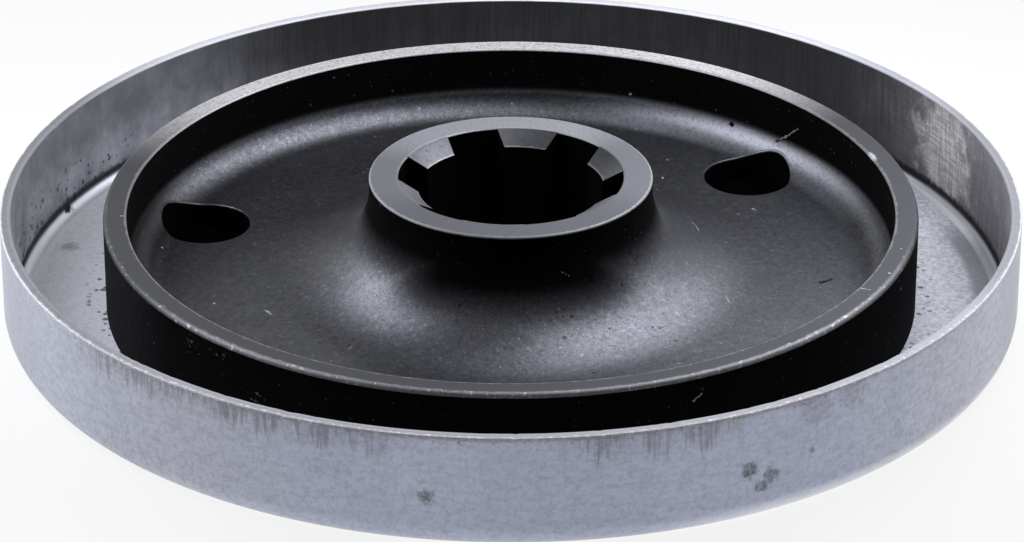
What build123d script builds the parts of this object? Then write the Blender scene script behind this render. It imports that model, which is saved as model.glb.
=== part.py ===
"""Starter pulley of a garden machine: a shallow pressed steel dish with a turned, splined cup in it.

Millimetres. The axis of the pulley is Z, the origin is the centre of the dish's underside, and the
hub faces up.
"""

import os
from math import cos, pi, sin

from build123d import *

# Outer dish, pressed from thin steel sheet
dish_diameter = 140.0
dish_height = 16.0
dish_sheet = 1.5
dish_bend_radius = 1.5
dish_bend_flats = 3
dish_edge_break = 0.2
dish_opening_clearance = 2.5

# Cup, turned from a forging, standing on the dish floor
cup_diameter = 112.0
cup_wall = 3.2
cup_rim_drop = 1.2
cup_web = 3.2
cup_corner_radius = 4.8
cup_edge_break = 0.25

# Hub in the middle of the cup
hub_diameter = 39.0
hub_rise = 4.3
hub_land = 2.0
hub_flare_reach = 15.0
hub_edge_break = 0.3

# Straight-sided internal spline, broached through the hub
spline_major_diameter = 31.0
spline_minor_diameter = 25.6
spline_slot_width = 7.5
spline_slots = 6
spline_lead_in = 1.7
spline_turn = 51.0

# Round holes through the web, just inside the cup wall
hole_diameter = 12.4
hole_wall_gap = 1.1
hole_count = 3
hole_turn = 41.4

# Levels along the axis, from the underside of the dish
cup_base = dish_sheet
web_face = cup_base + cup_web
cup_rim = dish_height - cup_rim_drop
hub_face = cup_rim + hub_rise


def sheet_bend(start, corner, end):
    """A quarter bend of the sheet in a few equal flats, whose ends lie on a circle about the bend's centre."""
    start, corner, end = Vector(start), Vector(corner), Vector(end)
    centre = start + end - corner
    turns = [pi / 2 * flat / dish_bend_flats for flat in range(dish_bend_flats + 1)]
    return Polyline(*[centre + (start - centre) * cos(turn) + (end - centre) * sin(turn) for turn in turns])


def outer_dish():
    """The dish: a flat floor with a round centre opening, one small bend and a straight wall."""
    outside = dish_diameter / 2
    inside = outside - dish_sheet
    outer_bend = dish_bend_radius + dish_sheet
    bend_centre = outside - outer_bend
    opening = spline_major_diameter / 2 + dish_opening_clearance
    with BuildPart() as dish:
        with BuildSketch(Plane.XZ):
            with BuildLine():
                Polyline((bend_centre, dish_sheet), (opening, dish_sheet), (opening, 0), (bend_centre, 0))
                sheet_bend((bend_centre, 0), (outside, 0), (outside, outer_bend))
                Polyline(
                    (outside, outer_bend),
                    (outside, dish_height - dish_edge_break),
                    (outside - dish_edge_break, dish_height),
                    (inside + dish_edge_break, dish_height),
                    (inside, dish_height - dish_edge_break),
                    (inside, outer_bend),
                )
                sheet_bend((inside, outer_bend), (inside, dish_sheet), (bend_centre, dish_sheet))
            make_face()
        revolve(axis=Axis.Z)
    return dish.part


def cup_blank():
    """The cup before broaching: a square outside, and inside a round corner and a flared hub."""
    outside = cup_diameter / 2
    inside = outside - cup_wall
    web_outer = inside - cup_corner_radius
    corner_top = web_face + cup_corner_radius
    hub = hub_diameter / 2
    web_inner = hub + hub_flare_reach
    flare_top = hub_face - hub_land
    with BuildPart() as blank:
        with BuildSketch(Plane.XZ):
            with BuildLine():
                Polyline(
                    (0, hub_face),
                    (0, cup_base),
                    (outside, cup_base),
                    (outside, cup_rim - cup_edge_break),
                    (outside - cup_edge_break, cup_rim),
                    (inside + cup_edge_break, cup_rim),
                    (inside, cup_rim - cup_edge_break),
                    (inside, corner_top),
                )
                TangentArc((inside, corner_top), (web_outer, web_face), tangent=(0, -1))
                Line((web_outer, web_face), (web_inner, web_face))
                EllipticalCenterArc((web_inner, flare_top), hub_flare_reach, flare_top - web_face, 180, arc_size=90)
                Polyline(
                    (hub, flare_top),
                    (hub, hub_face - hub_edge_break),
                    (hub - hub_edge_break, hub_face),
                    (0, hub_face),
                )
            make_face()
        revolve(axis=Axis.Z)
    return blank.part


def spline_bore():
    """What the broach removes: a round bore with parallel slots, and a lead-in cone at each end."""
    major = spline_major_diameter / 2
    minor = spline_minor_diameter / 2
    length = hub_face - cup_base
    with BuildPart() as bore:
        with BuildSketch(Plane.XY.offset(cup_base)):
            with PolarLocations(0, spline_slots, start_angle=spline_turn):
                Rectangle(spline_major_diameter, spline_slot_width, align=(Align.MIN, Align.CENTER))
            Circle(major, mode=Mode.INTERSECT)
            Circle(minor)
        extrude(amount=length)
        for level, towards in ((hub_face, -1), (cup_base, 1)):
            with BuildSketch(Plane.XZ):
                Polygon(
                    (0, level),
                    (major, level),
                    (minor, level + towards * spline_lead_in),
                    (0, level + towards * spline_lead_in),
                    align=None,
                )
            revolve(axis=Axis.Z)
    return bore.part


def splined_cup():
    """The finished cup: the blank, broached, with its ring of web holes close to the wall."""
    hole_reach = cup_diameter / 2 - cup_wall - hole_wall_gap - hole_diameter / 2
    with BuildPart() as cup:
        add(cup_blank())
        add(spline_bore(), mode=Mode.SUBTRACT)
        with Locations((0, 0, cup_base)):
            with PolarLocations(hole_reach, hole_count, start_angle=hole_turn):
                Cylinder(
                    hole_diameter / 2,
                    cup_rim - cup_base,
                    align=(Align.CENTER, Align.CENTER, Align.MIN),
                    mode=Mode.SUBTRACT,
                )
    return cup.part


os.makedirs("parts", exist_ok=True)
export_step(outer_dish(), "parts/outer_dish.step")
export_step(splined_cup(), "parts/splined_cup.step")
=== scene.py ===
import math

import bmesh
import bpy
import numpy as np
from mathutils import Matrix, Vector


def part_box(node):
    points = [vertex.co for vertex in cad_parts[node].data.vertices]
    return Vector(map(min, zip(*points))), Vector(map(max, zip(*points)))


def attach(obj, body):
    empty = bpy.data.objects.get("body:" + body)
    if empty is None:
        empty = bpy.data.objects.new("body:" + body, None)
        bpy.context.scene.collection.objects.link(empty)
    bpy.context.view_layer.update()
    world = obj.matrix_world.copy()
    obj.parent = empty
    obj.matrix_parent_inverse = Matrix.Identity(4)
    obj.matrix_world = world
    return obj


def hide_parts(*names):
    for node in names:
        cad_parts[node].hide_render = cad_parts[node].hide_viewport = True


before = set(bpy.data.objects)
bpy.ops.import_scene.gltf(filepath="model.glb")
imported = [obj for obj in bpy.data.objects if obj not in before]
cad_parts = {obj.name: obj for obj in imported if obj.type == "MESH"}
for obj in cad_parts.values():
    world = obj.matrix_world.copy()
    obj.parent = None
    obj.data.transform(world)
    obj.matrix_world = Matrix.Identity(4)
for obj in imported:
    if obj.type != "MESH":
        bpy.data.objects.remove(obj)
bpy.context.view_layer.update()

# Outer dish
# A shallow round dish pressed from bare steel sheet, with a straight wall, one small bend and a flat
# floor. The floor goes on under the cup to a round opening, and the cup is fixed to the middle of it.
mm = 0.001
dish_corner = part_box("outer_dish")[1]
dish_radius = dish_corner.x
dish_top = dish_corner.z
dish_sheet = 1.5 * mm
dish_bend = 1.5 * mm
dish_opening = 18.0 * mm
dish_rim_round = 0.22 * mm
dish_columns = 1440
cup_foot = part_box("splined_cup")[1].x - 0.3 * mm


def arc(centre, radius, start, end, steps):
    """Points on a circle: the centre plus the radius times cosine and sine of evenly spread angles."""
    angles = np.radians(np.linspace(start, end, steps))
    return np.column_stack([centre[0] + radius * np.cos(angles), centre[1] + radius * np.sin(angles)])


def straight(start, end, inset=0.15 * mm):
    """Outline points just inside both ends of a straight run, which keep its shading flat between them."""
    start = np.array(start)
    end = np.array(end)
    step = (end - start) * inset / np.linalg.norm(end - start)
    return np.array([start + step, end - step])


def turned(outline, turns):
    """Carries outline points round the axis: (r, z) at turn t lies at (r cos t, r sin t, z)."""
    radii = outline[:, 0:1]
    levels = outline[:, 1:2]
    return np.stack([radii * np.cos(turns), radii * np.sin(turns), levels + 0 * turns], axis=-1)


def grid_quads(rows, columns, loop=False):
    """Corner numbers of a grid's quads, each its row times the columns plus its column.

    The columns close up to a ring, and so do the rows if they loop.
    """
    row = np.arange(rows if loop else rows - 1)[:, None]
    column = np.arange(columns)[None, :]
    below = (row + 1) % rows
    beside = (column + 1) % columns
    corners = ((row, column), (below, column), (below, beside), (row, beside))
    numbers = [corner_row * columns + corner_column for corner_row, corner_column in corners]
    return np.stack(np.broadcast_arrays(*numbers), axis=-1)


def piece_from(name, places, quads, finishes, merge_gap=0.002 * mm, corner_angle=32):
    """A mesh object from places, quads and the number of each quad's finish, smooth but for its corners."""
    shape = bpy.data.meshes.new(name)
    shape.from_pydata(places.reshape(-1, 3), [], quads.reshape(-1, 4).tolist())
    shape.polygons.foreach_set("material_index", np.ravel(finishes).astype(np.int32))
    work = bmesh.new()
    work.from_mesh(shape)
    bmesh.ops.remove_doubles(work, verts=work.verts, dist=merge_gap)
    bmesh.ops.recalc_face_normals(work, faces=work.faces)
    work.to_mesh(shape)
    work.free()
    shape.shade_smooth()
    shape.set_sharp_from_angle(angle=math.radians(corner_angle))
    piece = bpy.data.objects.new(name, shape)
    bpy.context.scene.collection.objects.link(piece)
    return piece


dish_inside = dish_radius - dish_sheet
bend_centre = (dish_inside - dish_bend, dish_sheet + dish_bend)
rim_level = dish_top - dish_rim_round
dish_outline = np.vstack([
    straight((dish_opening, dish_sheet), (dish_opening, 0)),
    [(dish_opening, 0)],
    straight((dish_opening, 0), (bend_centre[0], 0)),
    arc(bend_centre, dish_bend + dish_sheet, -90, 0, 13),
    straight((dish_radius, bend_centre[1]), (dish_radius, rim_level)),
    arc((dish_radius - dish_rim_round, rim_level), dish_rim_round, 0, 90, 6),
    straight((dish_radius - dish_rim_round, dish_top), (dish_inside + dish_rim_round, dish_top)),
    arc((dish_inside + dish_rim_round, rim_level), dish_rim_round, 90, 180, 6),
    straight((dish_inside, rim_level), (dish_inside, bend_centre[1])),
    arc(bend_centre, dish_bend, 0, -90, 9),
    straight((bend_centre[0], dish_sheet), (cup_foot, dish_sheet)),
    [(cup_foot, dish_sheet)],
    straight((cup_foot, dish_sheet), (dish_opening, dish_sheet)),
    [(dish_opening, dish_sheet)],
])
dish_turns = np.linspace(0, 2 * np.pi, dish_columns, endpoint=False)
dish_places = turned(dish_outline, dish_turns)

# Knocks along the rim: each takes a little off the top, as a bell curve of the distance along the edge
knocks = np.random.default_rng(7)
knock_count = 110
knock_turn = knocks.uniform(0, 2 * np.pi, knock_count)[:, None]
knock_width = knocks.uniform(0.2, 1.0, knock_count)[:, None] * mm
knock_depth = knocks.uniform(0.01, 0.09, knock_count)[:, None] * mm
away = (dish_turns - knock_turn + np.pi) % (2 * np.pi) - np.pi
knocked = (knock_depth * np.exp(-(away * dish_radius / knock_width) ** 2)).max(axis=0)
near_rim = np.clip((dish_outline[:, 1] - rim_level + dish_rim_round) / dish_rim_round, 0, 1)[:, None]
dish_places[..., 2] -= near_rim * knocked

# The floor under the cup has the second finish
slack = 0.01 * mm
under_cup = (dish_outline[:, 0] < cup_foot + slack) & (dish_outline[:, 1] > dish_sheet - slack)
under_cup &= np.roll(under_cup, -1)
dish_finishes = np.repeat(under_cup[:, None], dish_columns, axis=1)
dish_quads = grid_quads(len(dish_outline), dish_columns, loop=True)
dish = piece_from("dressed_dish", dish_places, dish_quads, dish_finishes)
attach(dish, "root")
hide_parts("outer_dish")


def add_node(tree, kind, **settings):
    """A node of a shader tree with some of its settings set."""
    made = tree.nodes.new(kind)
    for key, value in settings.items():
        setattr(made, key, value)
    return made


def feed(tree, target, source):
    """Sets a socket to a plain value, or links it to another socket."""
    if isinstance(source, bpy.types.NodeSocket):
        tree.links.new(source, target)
    else:
        target.default_value = source


def reckon(tree, operation, first, second=0.0):
    """A Math node's result."""
    made = add_node(tree, "ShaderNodeMath", operation=operation)
    feed(tree, made.inputs[0], first)
    feed(tree, made.inputs[1], second)
    return made.outputs[0]


def chained(tree, operation, amounts):
    """Several amounts taken together, one after the other, by one operation."""
    result = amounts[0]
    for amount in amounts[1:]:
        result = reckon(tree, operation, result, amount)
    return result


def total(tree, *amounts):
    """The sum of several amounts."""
    return chained(tree, "ADD", amounts)


def times(tree, *shares):
    """The product of several shares."""
    return chained(tree, "MULTIPLY", shares)


def either(tree, *shares):
    """The largest of several shares."""
    return chained(tree, "MAXIMUM", shares)


def rest(tree, share):
    """What a share leaves of 1."""
    return reckon(tree, "SUBTRACT", 1.0, share)


def ramp(tree, value, low, high, start=0.0, end=1.0):
    """A value carried smoothly from start to end as it goes from low to high."""
    made = add_node(tree, "ShaderNodeMapRange", interpolation_type="SMOOTHSTEP")
    sources = {"Value": value, "From Min": low, "From Max": high, "To Min": start, "To Max": end}
    for key, source in sources.items():
        feed(tree, made.inputs[key], source)
    return made.outputs["Result"]


def noise(tree, place, scale, detail=2.0, roughness=0.5):
    """A cloudy noise about one half at a place."""
    made = add_node(tree, "ShaderNodeTexNoise")
    for key, source in {"Vector": place, "Scale": scale, "Detail": detail, "Roughness": roughness}.items():
        feed(tree, made.inputs[key], source)
    return made.outputs["Fac"]


def blend(tree, share, first, second):
    """One colour carried to another by a share from 0 to 1."""
    made = add_node(tree, "ShaderNodeMix", data_type="RGBA")
    for number, source in ((0, share), (6, first), (7, second)):
        feed(tree, made.inputs[number], source)
    return made.outputs[2]


def cover(tree, colour, paint, *shares):
    """A colour covered with a paint as far as the product of several shares."""
    return blend(tree, times(tree, *shares), colour, paint)


def grey(level, blue=1.0):
    """A grey with its level as red, a factor times that as blue, and green a fifth of the way to the blue."""
    return (level, level * (0.8 + 0.2 * blue), level * blue, 1)


def vector_of(tree, operation, first, second=(0, 0, 0)):
    """A Vector Math node's outputs, from one or two vectors."""
    made = add_node(tree, "ShaderNodeVectorMath", operation=operation)
    feed(tree, made.inputs[0], first)
    feed(tree, made.inputs[1], second)
    return made.outputs


def scaled(tree, vector, factor):
    """A vector times a factor."""
    made = add_node(tree, "ShaderNodeVectorMath", operation="SCALE")
    feed(tree, made.inputs[0], vector)
    feed(tree, made.inputs["Scale"], factor)
    return made.outputs[0]


def new_group(name, inputs, outputs):
    """An empty shader node group with inputs given by name and value, and outputs by name and kind."""
    group = bpy.data.node_groups.new(name, "ShaderNodeTree")
    for key, value in inputs.items():
        kind = "NodeSocketVector" if isinstance(value, tuple) else "NodeSocketFloat"
        group.interface.new_socket(key, in_out="INPUT", socket_type=kind).default_value = value
    for key, kind in outputs.items():
        group.interface.new_socket(key, in_out="OUTPUT", socket_type="NodeSocket" + kind)
    return group, group.nodes.new("NodeGroupInput").outputs, group.nodes.new("NodeGroupOutput").inputs


def use(tree, group, **inputs):
    """Places a group in a tree, with its own values, and gives its outputs."""
    made = add_node(tree, "ShaderNodeGroup", node_tree=group)
    for key, source in inputs.items():
        feed(tree, made.inputs[key.replace("_", " ")], source)
    return made.outputs


# Place on a round piece: point, radius and height in millimetres, and the direction from the axis
place_group, _, place_out = new_group("place_on_round", {}, {
    "Point": "Vector", "Radius": "Float", "Height": "Float", "Around": "Vector"})
in_metres = add_node(place_group, "ShaderNodeTexCoord").outputs["Object"]
point = vector_of(place_group, "DIVIDE", in_metres, (mm, mm, mm))[0]
flat = vector_of(place_group, "MULTIPLY", point, (1, 1, 0))[0]
split = add_node(place_group, "ShaderNodeSeparateXYZ")
feed(place_group, split.inputs[0], point)
feed(place_group, place_out["Point"], point)
feed(place_group, place_out["Radius"], vector_of(place_group, "LENGTH", flat)["Value"])
feed(place_group, place_out["Height"], split.outputs["Z"])
feed(place_group, place_out["Around"], vector_of(place_group, "NORMALIZE", flat)[0])

# Turns about the axis, in degrees, of the four sides of a round piece
to_right = 0
to_back = 90
to_left = 180
to_front = -90


def turn_window(tree, where, turn, spread):
    """A share that is 1 within half the spread about a turn in degrees, and falls to 0 at the whole spread."""
    turn = math.radians(turn)
    towards = vector_of(tree, "DOT_PRODUCT", where["Around"], (math.cos(turn), math.sin(turn), 0))["Value"]
    return ramp(tree, towards, math.cos(math.radians(spread)), math.cos(math.radians(spread / 2)))


def wrapped(tree, where, along, upright):
    """A place for patterns on a wall, with one scale along the wall and another upright."""
    lifted = add_node(tree, "ShaderNodeCombineXYZ")
    feed(tree, lifted.inputs["Z"], times(tree, where["Height"], upright))
    return vector_of(tree, "ADD", scaled(tree, where["Around"], along), lifted.outputs[0])[0]


def shaken(tree, place, fineness, reach):
    """A place moved about by noise, by up to about a third of a reach, which makes marks ragged."""
    ripple = add_node(tree, "ShaderNodeTexNoise")
    feed(tree, ripple.inputs["Vector"], place)
    feed(tree, ripple.inputs["Scale"], fineness)
    shift = vector_of(tree, "SUBTRACT", ripple.outputs["Color"], (0.5, 0.5, 0.5))[0]
    return vector_of(tree, "ADD", place, scaled(tree, shift, reach))[0]


# Edge line: a line along one turned edge, broken up by noise, for edges rubbed bright by handling and for
# highlights painted along edges and bends
wear_and_highlight_group, wear_and_highlight_in, wear_and_highlight_out = new_group(
    "edge_wear_and_highlight", {"Edge Radius": 0.0, "Edge Height": 0.0, "Reach": 0.3, "Break Up": 0.5}, {"Mask": "Float"})
where = use(wear_and_highlight_group, place_group)
aside = reckon(wear_and_highlight_group, "SUBTRACT", where["Radius"], wear_and_highlight_in["Edge Radius"])
above = reckon(wear_and_highlight_group, "SUBTRACT", where["Height"], wear_and_highlight_in["Edge Height"])
squares = total(wear_and_highlight_group, times(wear_and_highlight_group, aside, aside), times(wear_and_highlight_group, above, above))
gap = reckon(wear_and_highlight_group, "SQRT", squares)
ragged = reckon(wear_and_highlight_group, "SUBTRACT", noise(wear_and_highlight_group, where["Point"], 1.1, 4), 0.5)
share = total(wear_and_highlight_group, reckon(wear_and_highlight_group, "DIVIDE", gap, wear_and_highlight_in["Reach"]),
              times(wear_and_highlight_group, ragged, wear_and_highlight_in["Break Up"]))
feed(wear_and_highlight_group, wear_and_highlight_out["Mask"], ramp(wear_and_highlight_group, share, 1.0, 0.45))


def wear_and_highlight_edge(tree, radius, height, reach, break_up):
    """The line of wear and painted highlight about an edge of a given radius and height, with its reach in
    millimetres.
    """
    return use(tree, wear_and_highlight_group, Edge_Radius=radius / mm, Edge_Height=height / mm, Reach=reach,
               Break_Up=break_up)["Mask"]


# Blotch: a stain or pit about one place, with a ragged outline
blotch_group, blotch_in, blotch_out = new_group(
    "blotch", {"Middle": (0.0, 0.0, 0.0), "Reach": 2.0, "Fineness": 0.8}, {"Mask": "Float"})
where = use(blotch_group, place_group)
apart = vector_of(blotch_group, "DISTANCE", where["Point"], blotch_in["Middle"])["Value"]
ragged = noise(blotch_group, where["Point"], blotch_in["Fineness"], 5, 0.65)
share = total(blotch_group, reckon(blotch_group, "DIVIDE", apart, blotch_in["Reach"]),
              times(blotch_group, ragged, 1.6))
feed(blotch_group, blotch_out["Mask"], ramp(blotch_group, share, 1.75, 1.25))

# Specks: small grains spread thinly over a surface, each its own size
speck_group, speck_in, speck_out = new_group(
    "specks", {"Spacing": 2.0, "Size": 0.1, "Share": 0.3}, {"Mask": "Float"})
where = use(speck_group, place_group)
cells = add_node(speck_group, "ShaderNodeTexVoronoi")
ragged = shaken(speck_group, where["Point"], reckon(speck_group, "DIVIDE", 1.1, speck_in["Size"]),
                times(speck_group, speck_in["Size"], 2.0))
feed(speck_group, cells.inputs["Vector"], ragged)
feed(speck_group, cells.inputs["Scale"], reckon(speck_group, "DIVIDE", 1.0, speck_in["Spacing"]))
pick = add_node(speck_group, "ShaderNodeSeparateColor")
feed(speck_group, pick.inputs[0], cells.outputs["Color"])
chosen = reckon(speck_group, "LESS_THAN", pick.outputs[0], speck_in["Share"])
relative = reckon(speck_group, "DIVIDE", speck_in["Size"], speck_in["Spacing"])
reach = times(speck_group, relative, total(speck_group, pick.outputs[1], 0.35))
inside = reckon(speck_group, "LESS_THAN", cells.outputs["Distance"], reach)
feed(speck_group, speck_out["Mask"], times(speck_group, chosen, inside))

# Streaks: fine upright lines that hang from a rim, each to its own length
streak_group, streak_in, streak_out = new_group(
    "streaks", {"Top": 16.0, "Longest": 6.0, "Fineness": 1.0}, {"Mask": "Float"})
where = use(streak_group, place_group)
column = wrapped(streak_group, where, dish_radius / mm, 0.02)
broader = times(streak_group, streak_in["Fineness"], 0.45)
uneven = ramp(streak_group, noise(streak_group, column, broader, 4, 0.7), 0.30, 0.72)
length = times(streak_group, streak_in["Longest"], uneven)
drop = reckon(streak_group, "SUBTRACT", streak_in["Top"], where["Height"])
inside = ramp(streak_group, reckon(streak_group, "SUBTRACT", length, drop), 0.0, 1.5)
finer = times(streak_group, streak_in["Fineness"], 2.3)
lines = ramp(streak_group, noise(streak_group, column, finer, 2), 0.36, 0.64, 0.12, 1.0)
feed(streak_group, streak_out["Mask"], times(streak_group, inside, lines))

# Hair: a short uneven line from one place to another, for a scratch or a fibre of dust
hair_group, hair_in, hair_out = new_group(
    "hair", {"From": (0.0, 0.0, 0.0), "To": (1.0, 0.0, 0.0), "Width": 0.2}, {"Mask": "Float"})
where = use(hair_group, place_group)
run = vector_of(hair_group, "SUBTRACT", hair_in["To"], hair_in["From"])[0]
reached = vector_of(hair_group, "SUBTRACT", shaken(hair_group, where["Point"], 2.2, 0.7), hair_in["From"])[0]
along = reckon(hair_group, "DIVIDE", vector_of(hair_group, "DOT_PRODUCT", reached, run)["Value"],
               vector_of(hair_group, "DOT_PRODUCT", run, run)["Value"])
along = reckon(hair_group, "MINIMUM", either(hair_group, along, 0.0), 1.0)
apart = vector_of(hair_group, "DISTANCE", reached, scaled(hair_group, run, along))["Value"]
share = reckon(hair_group, "DIVIDE", apart, hair_in["Width"])
feed(hair_group, hair_out["Mask"], ramp(hair_group, share, 0.6, 0.35))


def new_finish(name, **constants):
    """A material with its node tree and its Principled shader, which gets the constants."""
    finish = bpy.data.materials.new(name)
    finish.use_nodes = True
    shader = finish.node_tree.nodes["Principled BSDF"]
    for key, value in constants.items():
        shader.inputs[key.replace("_", " ")].default_value = value
    return finish, finish.node_tree, shader


def roughen(tree, shader, height, strength, depth=0.05 * mm):
    """A bump on a shader from a height that changes over the surface."""
    bump = add_node(tree, "ShaderNodeBump")
    bump.inputs["Strength"].default_value = strength
    bump.inputs["Distance"].default_value = depth
    feed(tree, bump.inputs["Height"], height)
    feed(tree, shader.inputs["Normal"], bump.outputs[0])


# Finish of the dish: bare drawn sheet, satin and clouded, with painted reflection outside, warmer at the right
# and bluer at the front, and painted shade outside at both ends
steel, tree, shader = new_finish("bare_drawn_steel")
where = use(tree, place_group)
point = where["Point"]
radius = where["Radius"]
height = where["Height"]
rim_radius = dish_radius / mm
rim_height = dish_top / mm
bend_radius = bend_centre[0] / mm
bend_height = bend_centre[1] / mm
floor_height = dish_sheet / mm
foot_radius = cup_foot / mm
clouds = noise(tree, point, 0.12, 4, 0.6)
grain = noise(tree, point, 2.6, 3, 0.7)
fine = noise(tree, point, 5.0, 2, 0.6)
mottled = noise(tree, point, 1.3, 4, 0.7)
rolled = noise(tree, wrapped(tree, where, 30.0, 1.4), 0.9, 4, 0.65)
outside = ramp(tree, radius, rim_radius - 0.6, rim_radius - 0.4)
inside = times(tree, ramp(tree, radius, rim_radius - 0.9, rim_radius - 1.1),
               ramp(tree, height, floor_height - 0.6, floor_height - 0.2))
on_wall = times(tree, inside, ramp(tree, height, floor_height + 0.5, floor_height + 1.1))
on_floor = times(tree, inside, ramp(tree, height, floor_height + 0.5, floor_height + 0.2))
colour = blend(tree, clouds, grey(0.60, 1.17), grey(0.72, 1.15))
# Painted reflection outside: lighter and warmer at the right, bluer and darker at the front
colour = cover(tree, colour, grey(0.72, 1.04), outside, turn_window(tree, where, to_right - 12, 28), 0.5)
colour = cover(tree, colour, grey(0.54, 1.55), outside, turn_window(tree, where, to_front + 8, 44), 0.4)
colour = cover(tree, colour, grey(0.46, 1.2), outside, ramp(tree, rolled, 0.4, 0.7), 0.4)
colour = cover(tree, colour, grey(0.42, 1.15), ramp(tree, fine, 0.45, 0.8), 0.35)
colour = cover(tree, colour, grey(0.43, 1.18), ramp(tree, mottled, 0.45, 0.65), 0.42)
# Painted shade outside at both ends
at_ends = either(tree, turn_window(tree, where, to_left + 2, 30), turn_window(tree, where, to_right - 2, 24))
colour = cover(tree, colour, grey(0.44, 1.08), outside, at_ends, 0.45)

# The outer bend is smoothest at the right of the front, and painted near white there as a painted highlight
foot_highlight = times(tree, ramp(tree, height, bend_height + 0.4, bend_height - 2.2),
                ramp(tree, radius, bend_radius - 1.0, bend_radius + 0.5), rest(tree, inside),
                turn_window(tree, where, to_front + 48, 36))
colour = cover(tree, colour, grey(0.97, 1.03), foot_highlight, 0.55)

# Scuffs that hang from the rim on the outside, in two stretches that face the front
scuffs = use(tree, streak_group, Top=rim_height, Longest=6.0, Fineness=0.9)["Mask"]
front_left = turn_window(tree, where, to_front - 32, 24)
front_right = turn_window(tree, where, to_front + 15, 11)
scuffed = times(tree, outside, either(tree, front_left, front_right))
dulled = times(tree, scuffed, ramp(tree, height, rim_height - 4.5, rim_height - 1.0),
               ramp(tree, mottled, 0.35, 0.65, 0.3, 1.0))
colour = cover(tree, colour, grey(0.36, 1.1), dulled, 0.35)
colour = cover(tree, colour, grey(0.24, 1.12), scuffed, scuffs, 0.55)

# The inner wall is smoky, brown and cross-marked by the drawing tool at the right, and darkest at the back
upright = noise(tree, wrapped(tree, where, rim_radius, 0.08), 1.7, 4, 0.65)
level = noise(tree, wrapped(tree, where, 8.0, 1.0), 2.4, 4, 0.65)
crossed = ramp(tree, total(tree, upright, level), 0.75, 1.25)
smoky = ramp(tree, noise(tree, wrapped(tree, where, 40.0, 0.6), 0.35, 4, 0.6), 0.3, 0.7)
colour = cover(tree, colour, blend(tree, smoky, grey(0.30, 1.08), grey(0.56, 1.08)), on_wall)
colour = cover(tree, colour, grey(0.28, 1.05), on_wall, ramp(tree, upright, 0.45, 0.7), 0.3)
high_left = times(tree, turn_window(tree, where, to_left - 34, 56),
                  ramp(tree, height, rim_height - 11.0, rim_height - 3.0))
colour = cover(tree, colour, grey(0.16, 1.03), on_wall, high_left, 0.6)
brown = (0.32, 0.295, 0.285, 1)
colour = cover(tree, colour, brown, on_wall, turn_window(tree, where, to_right + 26, 50), 0.5)
hatched = times(tree, crossed, turn_window(tree, where, to_right + 35, 60))
colour = cover(tree, colour, grey(0.16), on_wall, hatched, 0.5)
lines = use(tree, streak_group, Top=rim_height, Longest=15.0, Fineness=1.3)["Mask"]
at_back = times(tree, on_wall, turn_window(tree, where, to_back - 10, 60))
colour = cover(tree, colour, grey(0.03), at_back, 0.92)
colour = cover(tree, colour, grey(0.03), at_back, lines, 0.5)

# The floor is scoured, with painted light that makes it palest at the left, and painted shade that makes it
# duller at the right and dark there beside the bend
scoured = ramp(tree, noise(tree, point, 1.6, 6, 0.7), 0.35, 0.65)
floor_colour = blend(tree, scoured, grey(0.42, 1.07), grey(0.76, 1.05))
# Painted light: the floor is palest at the left
painted_light_floor = blend(tree, scoured, grey(0.82, 1.05), grey(0.98, 1.02))
floor_colour = cover(tree, floor_colour, painted_light_floor, turn_window(tree, where, to_left + 5, 70))
# Painted shade: duller at the right, and dark beside the bend
floor_colour = cover(tree, floor_colour, grey(0.30, 1.02), turn_window(tree, where, to_right - 4, 26), 0.3)
shaded = times(tree, turn_window(tree, where, to_right + 3, 16),
               ramp(tree, radius, bend_radius - 3.6, bend_radius - 2.2))
floor_colour = cover(tree, floor_colour, grey(0.22, 1.05), shaded, 0.8)
colour = cover(tree, colour, floor_colour, on_floor)

# Pits low on the inner wall at the left, and about the foot of the cup
pits = use(tree, speck_group, Spacing=0.9, Size=0.34, Share=0.4)["Mask"]
pitted_wall = times(tree, on_wall, turn_window(tree, where, to_left - 18, 22),
                    ramp(tree, height, rim_height - 5.0, rim_height - 10.0))
pitted_floor = times(tree, on_floor, ramp(tree, radius, foot_radius + 4.3, foot_radius + 1.8))
colour = cover(tree, colour, grey(0.03), pits, either(tree, pitted_wall, pitted_floor), 0.8)

# A pale patch on the inner wall at the right, a painted highlight, streaked where the wall is cross-marked
highlight_pale = (0.95, 0.92, 0.87, 1)
brightened = use(tree, blotch_group, Middle=(62.4, 28.2, 9.0), Reach=10.0, Fineness=0.4)["Mask"]
colour = cover(tree, colour, highlight_pale, brightened, ramp(tree, crossed, 0.0, 0.9, 0.35, 1.0), on_wall)

# The inner bend, painted near white as a painted highlight except at the right, with a ragged line of painted
# shade above it where the wall meets the bend
bend_highlight = times(tree, wear_and_highlight_edge(tree, *bend_centre, 2.9, 0.15),
                  ramp(tree, height, floor_height + 0.8, floor_height + 0.5),
                  ramp(tree, radius, bend_radius - 0.5, bend_radius),
                  ramp(tree, turn_window(tree, where, to_right - 14, 36), 0.0, 1.0, 1.0, 0.25))
colour = cover(tree, colour, grey(0.97, 1.02), bend_highlight)
# Painted shade in the crease at the foot of the wall
ragged = total(tree, height, times(tree, mottled, 1.4))
crease_shade = times(tree, on_wall, ramp(tree, height, floor_height + 0.6, floor_height + 0.85),
              ramp(tree, ragged, floor_height + 3.0, floor_height + 2.1))
colour = cover(tree, colour, grey(0.01), crease_shade, 0.95)

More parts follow.
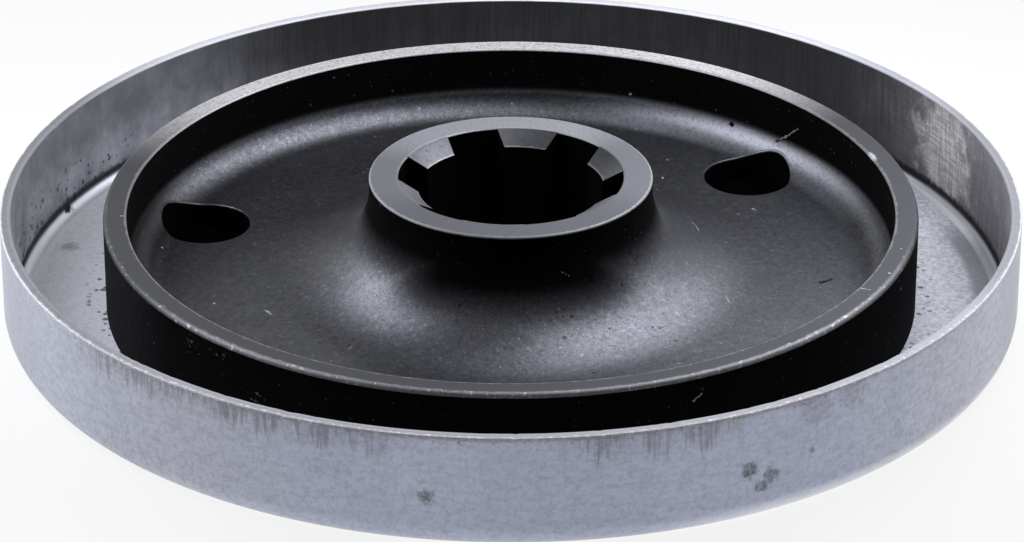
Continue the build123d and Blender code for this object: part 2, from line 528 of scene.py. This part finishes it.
# Stains: each has its middle, its reach, how strongly it covers and its colour
stain_grey = grey(0.09)
stain_brown = (0.20, 0.16, 0.12, 1)
patchy = ramp(tree, mottled, 0.35, 0.60, 0.45, 1.0)
for middle, reach, strength, stain in (
        ((30.1, -63.2, 7.8), 1.5, 0.75, stain_grey), ((32.9, -61.8, 6.5), 1.6, 0.55, stain_grey),
        ((31.6, -62.4, 5.1), 1.2, 0.65, stain_grey), ((-10.7, -69.2, 7.3), 1.5, 0.6, stain_grey),
        ((38.1, -58.7, 8.3), 0.7, 0.5, stain_grey), ((-63.9, 24.9, 1.9), 1.5, 1.0, stain_grey),
        ((38.6, -58.4, 14.4), 3.4, 0.28, stain_brown), ((43.6, -54.8, 14.8), 3.2, 0.25, stain_brown),
        ((-62.4, 13.4, 1.5), 1.8, 0.5, stain_grey)):
    stained = use(tree, blotch_group, Middle=middle, Reach=reach, Fineness=1.1)["Mask"]
    colour = cover(tree, colour, stain, stained, patchy, strength)

# A black chip in the inner bend at the left
chip = use(tree, hair_group, From=(-63.7, 24.9, 2.4), To=(-64.3, 23.9, 1.7), Width=1.2)["Mask"]
colour = cover(tree, colour, grey(0.008), chip)

# Cut edge of the rim, painted by turn: a painted highlight makes it brightest at the back, and painted shade
# dullest at both ends
on_rim = ramp(tree, height, rim_height - 0.3, rim_height - 0.1)
rim_front = blend(tree, grain, grey(0.36, 1.05), grey(0.50, 1.03))
rim_ends_shade = blend(tree, grain, grey(0.27, 1.04), grey(0.33, 1.03))
rim_back_highlight = blend(tree, grain, grey(0.75, 1.03), grey(0.95, 1.02))
shaded_ends = either(tree, turn_window(tree, where, to_left, 55), turn_window(tree, where, to_right, 32))
rim_colour = cover(tree, rim_front, rim_ends_shade, shaded_ends)
rim_colour = cover(tree, rim_colour, rim_back_highlight, turn_window(tree, where, to_back + 5, 62))
colour = cover(tree, colour, rim_colour, on_rim)

# Its outer edge is rubbed bright, and chipped at the front, with painted shadows of the chips just below
colour = cover(tree, colour, grey(0.66), wear_and_highlight_edge(tree, dish_radius, dish_top, 0.36, 0.9))
chips = noise(tree, point, 1.5, 5, 0.7)
at_front = turn_window(tree, where, to_front, 82)
near_edge = times(tree, wear_and_highlight_edge(tree, dish_radius, dish_top, 0.7, 0.4), at_front)
colour = cover(tree, colour, grey(0.90), near_edge, ramp(tree, chips, 0.50, 0.60), 0.85)
chip_shadows = times(tree, outside, ramp(tree, height, rim_height - 1.3, rim_height - 0.6),
                   ramp(tree, height, rim_height - 0.25, rim_height - 0.45))
colour = cover(tree, colour, grey(0.12), chip_shadows, at_front, ramp(tree, chips, 0.55, 0.66), 0.65)
feed(tree, shader.inputs["Base Color"], colour)

# Both bends are smoother than the rest, and a film of dust dulls the inside and the chipped edge
rough = total(tree, times(tree, grain, 0.12), 0.64)
smoother = times(tree, either(tree, foot_highlight, bend_highlight), 0.2)
feed(tree, shader.inputs["Roughness"], reckon(tree, "SUBTRACT", rough, smoother))
dusty = times(tree, inside, ramp(tree, height, floor_height + 1.1, floor_height + 0.5, 0.55, 0.75))
dusty = times(tree, either(tree, dusty, times(tree, near_edge, 0.7)), rest(tree, bend_highlight))
feed(tree, shader.inputs["Metallic"], rest(tree, dusty))
roughen(tree, shader, grain, 0.12)
dish.data.materials.append(steel)

# Finish of the dish floor under the cup: painted shade, near black and without reflection, where the cup keeps
# the light out
under_cup_shade, tree, shader = new_finish("painted_shade_under_cup", Roughness=0.7, Metallic=0.0, Specular_IOR_Level=0.0)
where = use(tree, place_group)
shade_noise = noise(tree, where["Point"], 0.4, 3)
feed(tree, shader.inputs["Base Color"], blend(tree, shade_noise, grey(0.0005), grey(0.002)))
dish.data.materials.append(under_cup_shade)

# Splined cup
# A thick cup turned from a forging and blackened, with a flared hub that is broached with a six-slot spline.
# Its rim and hub face are ground bare, three round holes go through its web, and it stands on the dish floor.
cup_low, cup_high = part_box("splined_cup")
cup_radius = cup_high.x
cup_base = cup_low.z
hub_face = cup_high.z
cup_wall = 3.2 * mm
cup_rim = 14.8 * mm
cup_edge = 0.28 * mm
cup_round = 0.6 * mm
web_face = cup_base + 3.2 * mm
corner = 4.8 * mm
hub_radius = 19.5 * mm
hub_edge = 0.3 * mm
flare_reach = 15.0 * mm
flare_top = hub_face - 2.0 * mm
spline_major = 15.5 * mm
spline_minor = 12.8 * mm
slot_half = 3.75 * mm
slot_count = 6
slot_turn = math.radians(51.0)
slot_edge = 0.2 * mm
lead_in = 1.7 * mm
hole_radius = 6.2 * mm
hole_reach = 45.5 * mm
hole_turns = np.radians(41.4 + 120.0 * np.arange(3))
hole_round = 0.25 * mm
holed_from = 37.5 * mm
cup_columns = 720
# The cup's finishes: blackened, ground, and painted shade for the bore and the hole walls
blackened, ground, in_shade = 0, 1, 2
cup_turns = np.linspace(0, 2 * np.pi, cup_columns, endpoint=False)
cup_inside = cup_radius - cup_wall
web_outer = cup_inside - corner
web_inner = hub_radius + flare_reach
corner_centre = (web_outer, web_face + corner)


def web_level(radius):
    """Height of the web's upper side: flat, then rising along the quarter circle of the wall's corner."""
    reach = np.clip(radius - web_outer, 0, corner)
    return corner_centre[1] - np.sqrt(corner ** 2 - reach ** 2)


def base_level(radius):
    """Height of the cup's underside, which is flat."""
    return 0 * radius + cup_base


# Hub face with its rounded edge, then the hub's side, its flare (a quarter ellipse) and the inner web
hub_ring = np.vstack([
    [(spline_major + slot_edge, hub_face)],
    straight((spline_major + slot_edge, hub_face), (hub_radius - hub_edge, hub_face)),
    arc((hub_radius - hub_edge, hub_face - hub_edge), hub_edge, 90, 0, 6),
])
flare_steps = np.linspace(0, np.pi / 2, 20)
flare = np.column_stack([web_inner - flare_reach * np.cos(flare_steps),
                         flare_top - (flare_top - web_face) * np.sin(flare_steps)])
hub_side = np.vstack([
    [(hub_radius, hub_face - hub_edge)],
    straight((hub_radius, hub_face - hub_edge), (hub_radius, flare_top)),
    flare,
    [(holed_from, web_face)],
])
# The stretch of the web, and of the corner up to one of its steps, that the holes go through
corner_turns = np.linspace(0, np.pi / 2, 15)
corner_radii = web_outer + corner * np.sin(corner_turns)
holed_step = 11
holed_radii = np.concatenate([np.linspace(holed_from, web_outer, 9)[:-1], corner_radii[:holed_step + 1]])
holed_to = holed_radii[-1]
# The rest of the corner and the inner wall, the rim, and the outside down to the base
corner_levels = corner_centre[1] - corner * np.cos(corner_turns)
inner_wall_outline = np.vstack([
    np.column_stack([corner_radii, corner_levels])[holed_step:],
    straight((cup_inside, corner_centre[1]), (cup_inside, cup_rim - cup_edge)),
    [(cup_inside, cup_rim - cup_edge)],
])
rim_outline = np.vstack([
    arc((cup_inside + cup_edge, cup_rim - cup_edge), cup_edge, 180, 90, 6),
    straight((cup_inside + cup_edge, cup_rim), (cup_radius - cup_round, cup_rim)),
    arc((cup_radius - cup_round, cup_rim - cup_round), cup_round, 90, 0, 9),
])
outside_outline = np.vstack([
    [(cup_radius, cup_rim - cup_round)],
    straight((cup_radius, cup_rim - cup_round), (cup_radius, cup_base)),
    [(cup_radius, cup_base), (holed_to, cup_base)],
])
base_outline = np.array([(holed_from, cup_base), (spline_major + slot_edge, cup_base)])


class Skin:
    """Gathers grids of places, with their quads and finishes, into one mesh."""

    def __init__(self):
        self.places = []
        self.quads = []
        self.finishes = []
        self.count = 0

    def add(self, places, quads, finish):
        """Adds a grid's places and quads, with one finish for all its quads or one for each."""
        self.places.append(places.reshape(-1, 3))
        self.quads.append(quads.reshape(-1, 4) + self.count)
        self.finishes.append(np.ravel(np.broadcast_to(finish, quads.shape[:-1])))
        self.count += len(self.places[-1])

    def add_turned(self, outline, finish):
        """Adds an outline carried round the axis."""
        self.add(turned(outline, cup_turns), grid_quads(len(outline), cup_columns), finish)


def pierced(skin, radii, level_of, edge_radius, half=20, rings=10, crowding=1.4):
    """Rings of the web with a window of columns left out about each hole, and filled up to the hole's edge.

    In plan, a place of the filling lies at edge + s (frame - edge), where s is an even share from the edge to
    the window's frame, raised to the crowding. Its height is what level_of gives for its radius.
    """
    rows = len(radii)
    skin_places = turned(np.column_stack([radii, level_of(radii)]), cup_turns)
    quads = grid_quads(rows, cup_columns)
    kept = np.ones(quads.shape[:2], bool)
    shares = np.linspace(0, 1, rings)[:, None, None] ** crowding
    rims = []
    for hole_turn in hole_turns:
        middle = int(round(hole_turn / (2 * np.pi) * cup_columns))
        columns = np.arange(middle - half, middle + half + 1) % cup_columns
        kept[:, columns[:-1]] = False
        frame_rows = np.concatenate([np.zeros(2 * half, int), np.arange(rows - 1),
                                     np.full(2 * half, rows - 1), np.arange(rows - 1, 0, -1)])
        frame_columns = np.concatenate([columns[:-1], np.full(rows - 1, columns[-1]),
                                        columns[:0:-1], np.full(rows - 1, columns[0])])
        frame_places = skin_places[frame_rows, frame_columns, :2]
        axis = hole_reach * np.array([np.cos(hole_turn), np.sin(hole_turn)])
        towards = np.arctan2(frame_places[:, 1] - axis[1], frame_places[:, 0] - axis[0])
        rim = np.stack([np.cos(towards), np.sin(towards)], axis=-1)
        edge = axis + edge_radius * rim
        plan = edge + shares * (frame_places - edge)
        level = level_of(np.hypot(plan[..., 0], plan[..., 1]))
        filling = np.concatenate([plan, level[..., None]], axis=-1)
        skin.add(filling, grid_quads(rings, len(towards)), blackened)
        rims.append((axis, rim))
    skin.add(skin_places, quads[kept], blackened)
    return rims


cup_skin = Skin()
cup_skin.add_turned(hub_ring, ground)
cup_skin.add_turned(hub_side, blackened)
hole_rims = pierced(cup_skin, holed_radii, web_level, hole_radius + hole_round)
cup_skin.add_turned(inner_wall_outline, blackened)
cup_skin.add_turned(rim_outline, ground)
cup_skin.add_turned(outside_outline, blackened)
pierced(cup_skin, holed_radii, base_level, hole_radius)
cup_skin.add_turned(base_outline, blackened)

# The rounded upper edge of each hole, a quarter circle, and its wall down to the base, painted in shade
rolls = np.radians(np.linspace(0, 90, 5))[:, None]
hole_widths = hole_radius + hole_round * np.vstack([1 - np.sin(rolls), [[0], [0]]])
hole_finishes = np.array([blackened] * len(rolls) + [in_shade])[:, None]
hole_step = 0.1 * mm
for axis, rim in hole_rims:
    tops = web_level(np.linalg.norm(axis + hole_widths[0] * rim, axis=-1))
    drops = tops - hole_round * (1 - np.cos(rolls))
    drops = np.vstack([drops, drops[-1:] - hole_step, 0 * drops[-1:] + cup_base])
    plan = axis + hole_widths[..., None] * rim
    hole_places = np.concatenate([plan, drops[..., None]], axis=-1)
    cup_skin.add(hole_places, grid_quads(len(hole_widths), len(rim)), hole_finishes)

# The bore: slots at the major radius, and between them teeth that run out in a cone at both ends
cone_step = 0.1 * mm
bore_levels = np.array([0, slot_edge, lead_in - cone_step, lead_in, lead_in + cone_step])
bore_levels = np.concatenate([cup_base + bore_levels, hub_face - bore_levels[::-1]])
from_end = np.minimum(bore_levels - cup_base, hub_face - bore_levels)
slot_radii = spline_major + np.clip(slot_edge - from_end, 0, slot_edge)
tooth_radii = spline_minor + (spline_major - spline_minor) * np.clip(1 - from_end / lead_in, 0, 1)
tooth_radii = np.maximum(tooth_radii, np.where(from_end < 0.5 * slot_edge, slot_radii, 0))
slot_reach = np.arcsin(slot_half / slot_radii)
tooth_reach = np.pi / slot_count - np.arcsin(slot_half / tooth_radii)
slot_columns = np.linspace(-1, 1, 57)
tooth_columns = np.linspace(-1, 1, 65)
# At the upper end the slots' chamfer and the teeth's cone are ground, and the flanks between them are painted
# in shade
bore_rows = np.arange(len(bore_levels) - 1)[:, None]
slot_finish = np.where((bore_rows == len(bore_rows) - 1) & (slot_columns < 1), ground, in_shade)
tooth_finish = np.where((bore_rows >= len(bore_rows) - 3) & (tooth_columns < 1), ground, in_shade)
bore_turns = []
for slot in range(slot_count):
    middle = slot_turn + 2 * np.pi * slot / slot_count
    bore_turns.append(middle + slot_reach[:, None] * slot_columns)
    bore_turns.append(middle + np.pi / slot_count + tooth_reach[:, None] * tooth_columns)
bore_turns = np.hstack(bore_turns)
bore_radii = np.hstack([slot_radii[:, None] + 0 * slot_columns, tooth_radii[:, None] + 0 * tooth_columns])
bore_radii = np.tile(bore_radii, slot_count)
bore_places = np.stack([bore_radii * np.cos(bore_turns), bore_radii * np.sin(bore_turns),
                        bore_levels[:, None] + 0 * bore_turns], axis=-1)
bore_finishes = np.tile(np.hstack([slot_finish, tooth_finish]), slot_count)
cup_skin.add(bore_places, grid_quads(*bore_places.shape[:2]), bore_finishes)
cup = piece_from("dressed_cup", np.vstack(cup_skin.places), np.vstack(cup_skin.quads),
                 np.concatenate(cup_skin.finishes))
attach(cup, "root")
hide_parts("splined_cup")

# Finish of the blackened faces: a satin oxide film, grainy and mottled
black, tree, shader = new_finish("black_oxide", Specular_IOR_Level=0.04)
where = use(tree, place_group)
point = where["Point"]
radius = where["Radius"]
height = where["Height"]
web_height = web_face / mm
flare_end = web_inner / mm
corner_start = web_outer / mm
wall_inside = cup_inside / mm
wall_outside = cup_radius / mm
grain = noise(tree, point, 3.0, 4, 0.7)
clouds = noise(tree, point, 0.15, 3)
fine = noise(tree, point, 6.0, 3, 0.7)
mottled = noise(tree, point, 1.2, 5, 0.75)
satin = blend(tree, clouds, grey(0.125, 1.09), grey(0.175, 1.09))
satin = cover(tree, satin, grey(0.05), ramp(tree, grain, 0.50, 0.75))
satin = cover(tree, satin, grey(0.085, 1.06), ramp(tree, fine, 0.35, 0.70))
satin = cover(tree, satin, grey(0.30, 1.08), ramp(tree, fine, 0.40, 0.28), 0.6)
satin = cover(tree, satin, grey(0.045, 1.05), ramp(tree, mottled, 0.48, 0.70), 0.6)
satin = cover(tree, satin, grey(0.27, 1.09), ramp(tree, mottled, 0.46, 0.30), 0.5)

# Pits on the flare at the front, and a crusted corner of the wall, with a painted highlight on the corner at
# the right and painted shade on it at the left
pits = use(tree, speck_group, Spacing=1.0, Size=0.22, Share=0.25)["Mask"]
pits = times(tree, pits, ramp(tree, noise(tree, point, 0.22, 2), 0.48, 0.60),
             ramp(tree, radius, flare_end + 3.5, flare_end - 0.5), turn_window(tree, where, to_front, 100))
satin = cover(tree, satin, grey(0.02), pits, 0.7)
in_corner = ramp(tree, radius, corner_start + 0.5, corner_start + 2.0)
# Painted highlight on the corner at the right
satin = cover(tree, satin, grey(0.25, 1.1), in_corner, turn_window(tree, where, to_right + 47, 34), 0.9)
# Painted shade on the corner at the left
satin = cover(tree, satin, grey(0.02), in_corner, turn_window(tree, where, to_left + 6, 34), 0.9)
crusted = ramp(tree, noise(tree, point, 2.0, 6, 0.75), 0.48, 0.62)
satin = cover(tree, satin, grey(0.05, 1.05), in_corner, crusted, 0.45)

# Painted shade: the walls and the hub's side painted near black and matte, with a painted shadow of the hub
# down its front, and a faint painted sheen outside at the left
near_hub = ramp(tree, radius, flare_end - 2.5, flare_end - 4.5)
at_hub = times(tree, near_hub, ramp(tree, height, web_height + 4.3, web_height + 10.3))
hub_shadow = times(tree, near_hub, ramp(tree, height, web_height + 1.9, web_height + 7.9),
                  turn_window(tree, where, to_front + 2, 56))
at_wall = ramp(tree, radius, wall_inside - 0.35, wall_inside - 0.05)
painted_shade = either(tree, at_hub, hub_shadow, at_wall)
colour = cover(tree, satin, grey(0.003), painted_shade)
sheen_left = times(tree, turn_window(tree, where, to_left + 6, 32),
                   ramp(tree, radius, wall_outside - 0.6, wall_outside - 0.2))
colour = cover(tree, colour, grey(0.016, 1.1), sheen_left, ramp(tree, mottled, 0.35, 0.6, 0.4, 1.0))

# Dust on the black: grains, powder, fibres from one place to another, and crumbs strewn on the outside
grains = use(tree, speck_group, Spacing=2.0, Size=0.17, Share=0.4)["Mask"]
powder = use(tree, speck_group, Spacing=0.8, Size=0.1, Share=0.35)["Mask"]
powder = times(tree, powder, ramp(tree, clouds, 0.4, 0.6, 0.25, 0.7))
dust = either(tree, times(tree, grains, 0.5), powder)
dust = times(tree, dust, ramp(tree, painted_shade, 0.0, 1.0, 1.0, 0.3))
for start, end, width in (
        ((-33.3, -12.8, 4.7), (-32.6, -13.7, 4.7), 0.42), ((29.4, -9.1, 5.1), (29.9, -10.8, 4.9), 0.22),
        ((6.9, -18.9, 13.6), (7.8, -18.8, 13.0), 0.16), ((25.5, 12.9, 5.7), (26.1, 11.4, 5.7), 0.18),
        ((26.1, 11.4, 5.7), (26.4, 9.6, 5.9), 0.18), ((34.3, 19.4, 4.7), (34.8, 19.0, 4.7), 0.25),
        ((23.4, -50.9, 11.1), (24.5, -50.4, 11.9), 0.25), ((21.9, 29.7, 4.7), (21.9, 29.5, 4.7), 0.40),
        ((-40.5, -10.6, 4.7), (-40.5, -10.5, 4.7), 0.36), ((-48.7, 6.5, 4.8), (-48.7, 6.4, 4.8), 0.36),
        ((52.3, -20.0, 11.7), (52.3, -20.1, 11.8), 0.34), ((17.6, 49.7, 8.9), (17.7, 49.7, 8.9), 0.36),
        ((39.1, 35.3, 8.2), (40.3, 34.1, 9.5), 0.22), ((40.3, 34.1, 9.5), (41.4, 32.7, 11.0), 0.18)):
    fibre = use(tree, hair_group, From=start, To=end, Width=width)["Mask"]
    dust = either(tree, dust, fibre)
crumbs = use(tree, speck_group, Spacing=0.45, Size=0.17, Share=0.45)["Mask"]
for middle in ((-41.6, -37.4, 12.0), (-37.4, -41.6, 12.2), (-33.0, -45.2, 8.6)):
    strewn = use(tree, blotch_group, Middle=middle, Reach=1.9, Fineness=1.2)["Mask"]
    dust = either(tree, dust, times(tree, strewn, crumbs, 0.3))
colour = cover(tree, colour, grey(0.45), dust, 0.8)

# Scratches that show darker than the film
for start, end, width in (
        ((42.6, -4.3, 4.7), (43.5, -3.7, 4.7), 0.60), ((43.5, -3.7, 4.7), (44.3, -3.1, 4.7), 0.45),
        ((38.5, 35.6, 7.7), (41.3, 32.9, 10.0), 0.40), ((32.2, 41.4, 7.8), (32.4, 41.3, 7.8), 0.75)):
    scratch = use(tree, hair_group, From=start, To=end, Width=width)["Mask"]
    colour = cover(tree, colour, grey(0.004), scratch)
feed(tree, shader.inputs["Base Color"], colour)
feed(tree, shader.inputs["Metallic"], times(tree, rest(tree, dust), rest(tree, painted_shade)))
feed(tree, shader.inputs["Roughness"], total(tree, times(tree, grain, 0.10), times(tree, painted_shade, 0.45), 0.36))
roughen(tree, shader, grain, 0.45)
cup.data.materials.append(black)

# Finish of the ground faces: dull turned steel, stained on the teeth's cones, and painted by turn: a painted
# highlight at the back, broken up by noise, and painted shade on the hub face in front and on the teeth at the
# back
bare, tree, shader = new_finish("ground_steel", Metallic=1.0)
where = use(tree, place_group)
point = where["Point"]
radius = where["Radius"]
bore_radius = spline_major / mm
grain = noise(tree, point, 3.4, 4, 0.7)
ringed = add_node(tree, "ShaderNodeCombineXYZ")
feed(tree, ringed.inputs["X"], times(tree, radius, 7.0))
turning = noise(tree, ringed.outputs[0], 1.0, 2)
on_hub = ramp(tree, radius, 30.0, 29.0)
in_bore = ramp(tree, radius, bore_radius + 0.1, bore_radius)
# Painted shade on the hub face in front; the rim painted a little lighter at the front left
hub_colour = cover(tree, grey(0.25, 1.08), grey(0.175, 1.08), turn_window(tree, where, to_front, 80))
rim_colour = cover(tree, grey(0.085, 1.08), grey(0.095, 1.05), turn_window(tree, where, to_left + 25, 50))
colour = blend(tree, on_hub, rim_colour, hub_colour)
# A painted highlight at the back of the hub face and the rim, broken up by noise
back_highlight_colour = blend(tree, on_hub, (0.95, 0.93, 0.91, 1), grey(0.44, 1.06))
back_highlight = ramp(tree, noise(tree, point, 2.4, 5, 0.7), 0.15, 0.55)
colour = cover(tree, colour, back_highlight_colour, turn_window(tree, where, to_back + 8, 70), back_highlight)
# Painted shade on the teeth's cones at the back
bore_colour = cover(tree, grey(0.16, 1.06), grey(0.09, 1.06), turn_window(tree, where, to_back - 20, 75))
stained = ramp(tree, noise(tree, point, 1.8, 5, 0.75), 0.48, 0.64)
bore_colour = cover(tree, bore_colour, grey(0.05), stained, 0.55)
colour = cover(tree, colour, bore_colour, in_bore)
colour = cover(tree, colour, grey(0.10), turning, 0.25)
colour = cover(tree, colour, grey(0.08), ramp(tree, grain, 0.5, 0.75), 0.35)

# Edges rubbed bright by handling, and partly painted highlights: the hub's, the teeth's and both of the rim's,
# the outer one only in front
for edge_radius, edge_height, reach, strength in (
        (hub_radius, hub_face, 0.4, 0.5), (cup_inside, cup_rim, 0.4, 0.45),
        (spline_minor, hub_face - lead_in, 0.3, 0.3)):
    brightened = wear_and_highlight_edge(tree, edge_radius, edge_height, reach, 1.6)
    colour = cover(tree, colour, grey(0.46), brightened, strength)
# The outer edge in front is mostly a painted highlight, with some wear
outer_edge = wear_and_highlight_edge(tree, cup_radius, cup_rim, 0.9, 0.6)
uneven_edge = ramp(tree, grain, 0.3, 0.6, 0.35, 0.75)
colour = cover(tree, colour, grey(0.40), outer_edge, turn_window(tree, where, to_front + 8, 75), uneven_edge)

# Chips in the rim, small ones along its outer edge in front and one inside at the right, and four nicks
chipped = ramp(tree, noise(tree, point, 1.3, 5, 0.7), 0.58, 0.64)
colour = cover(tree, colour, grey(0.75), outer_edge, turn_window(tree, where, to_front - 5, 95), chipped, 0.8)
for start, end, width in (
        ((46.5, -26.0, 14.8), (47.5, -26.5, 14.8), 0.20), ((-53.5, -4.0, 14.8), (-53.0, -4.0, 14.8), 0.20),
        ((50.5, -21.6, 14.8), (50.5, -21.5, 14.8), 0.25), ((52.6, -14.2, 14.8), (52.6, -14.1, 14.8), 0.22)):
    nick = use(tree, hair_group, From=start, To=end, Width=width)["Mask"]
    colour = cover(tree, colour, grey(0.45), nick)
inner_chip = use(tree, blotch_group, Middle=(50.6, 15.2, 14.7), Reach=1.6, Fineness=2.6)["Mask"]
colour = cover(tree, colour, grey(0.50), inner_chip, wear_and_highlight_edge(tree, cup_inside, cup_rim, 0.9, 0.5))
feed(tree, shader.inputs["Base Color"], colour)
rough = total(tree, times(tree, grain, 0.12), 0.58)
feed(tree, shader.inputs["Roughness"], reckon(tree, "SUBTRACT", rough, times(tree, in_bore, 0.18)))
roughen(tree, shader, total(tree, grain, turning), 0.12)
cup.data.materials.append(bare)

# Finish of the bore and the hole walls: the same black film, painted darker as shade, dull and without
# reflection
bore_shade, tree, shader = new_finish("painted_shade_bore", Roughness=0.8, Metallic=0.0, Specular_IOR_Level=0.0)
where = use(tree, place_group)
broached = noise(tree, wrapped(tree, where, 15.0, 0.05), 2.5, 3)
feed(tree, shader.inputs["Base Color"], blend(tree, broached, grey(0.0015), grey(0.005)))
cup.data.materials.append(bore_shade)

# Floor
# A plain sheet of white paper under the part, which runs out into a white background. It shows mostly white
# to the camera and in reflections, and keeps the part's shadow.
floor_half = 3.0
floor_white = 0.85
floor_glow = 0.85
floor_corners = [(-floor_half, -floor_half, 0), (floor_half, -floor_half, 0), (floor_half, floor_half, 0),
                 (-floor_half, floor_half, 0)]
floor_mesh = bpy.data.meshes.new("floor")
floor_mesh.from_pydata(floor_corners, [], [(0, 1, 2, 3)])
floor = bpy.data.objects.new("floor", floor_mesh)
bpy.context.scene.collection.objects.link(floor)
paper, tree, shader = new_finish("white_paper", Base_Color=grey(floor_white), Roughness=0.9, Metallic=0.0,
                                 Specular_IOR_Level=0.0)
glow = add_node(tree, "ShaderNodeEmission")
path = add_node(tree, "ShaderNodeLightPath").outputs
seen = either(tree, path["Is Camera Ray"], path["Is Glossy Ray"], path["Is Transmission Ray"])
mixed = add_node(tree, "ShaderNodeMixShader")
feed(tree, mixed.inputs[0], times(tree, seen, floor_glow))
feed(tree, mixed.inputs[1], shader.outputs[0])
feed(tree, mixed.inputs[2], glow.outputs[0])
feed(tree, tree.nodes["Material Output"].inputs["Surface"], mixed.outputs[0])
floor_mesh.materials.append(paper)

# Studio
# Two soft boxes close above the part, left and right, a pale strip low behind it, a dim ceiling, and a soft
# patch of light high up at the right. The side of the room that the camera stands in is dark.
scene = bpy.context.scene
scene.view_settings.view_transform = "Standard"
aim = np.array([0, 0, 8.0 * mm])
lamp_colour = (0.95, 0.965, 1.08)
for name, turn, rise, far, wide, tall, power in (
        ("left_box", 172, 37.5, 0.165, 0.121, 0.108, 0.178),
        ("right_box", 25.3, 53.6, 0.126, 0.115, 0.126, 0.180)):
    lamp = bpy.data.lights.new(name, "AREA")
    lamp.shape = "RECTANGLE"
    lamp.size = wide
    lamp.size_y = tall
    lamp.energy = power
    lamp.color = lamp_colour
    box = bpy.data.objects.new(name, lamp)
    box.visible_camera = False
    scene.collection.objects.link(box)
    turn = math.radians(turn)
    rise = math.radians(rise)
    towards = np.array([math.cos(rise) * math.cos(turn), math.cos(rise) * math.sin(turn), math.sin(rise)])
    box.location = aim + far * towards
    box.rotation_euler = (math.pi / 2 - rise, 0, turn + math.pi / 2)
world = bpy.data.worlds.new("studio")
scene.world = world
world.use_nodes = True
tree = world.node_tree
sky = tree.nodes["Background"]
looking = add_node(tree, "ShaderNodeTexCoord").outputs["Generated"]
direction = add_node(tree, "ShaderNodeSeparateXYZ")
feed(tree, direction.inputs[0], looking)
strip_strength = 1.6
low_down = ramp(tree, direction.outputs["Z"], 0.40, 0.30)
behind = ramp(tree, direction.outputs["Y"], -0.1, 0.4)
strip = times(tree, low_down, behind, strip_strength)
to_ceiling = (0, 0.35, 0.94)
ceiling = ramp(tree, vector_of(tree, "DOT_PRODUCT", looking, to_ceiling)["Value"], 0.45, 0.72, 0.01, 0.14)
to_patch = (0.405, 0.035, 0.914)
patch = ramp(tree, vector_of(tree, "DOT_PRODUCT", looking, to_patch)["Value"], 0.92, 0.98)
feed(tree, sky.inputs["Strength"], either(tree, strip, ceiling, patch))
sky.inputs["Color"].default_value = (0.97, 0.98, 1.0, 1)

# Camera
# It looks down on the part from the front, as the photograph does.
camera_lens = 161.03
camera_tilt = math.radians(63.535)
camera = bpy.data.cameras.new("camera")
camera.sensor_width = 36.0
camera.lens = camera_lens
eye = bpy.data.objects.new("camera", camera)
eye.location = (0.159 * mm, -568.53 * mm, 287.42 * mm)
eye.rotation_euler = (camera_tilt, 0, 0)
scene.collection.objects.link(eye)
scene.camera = eye
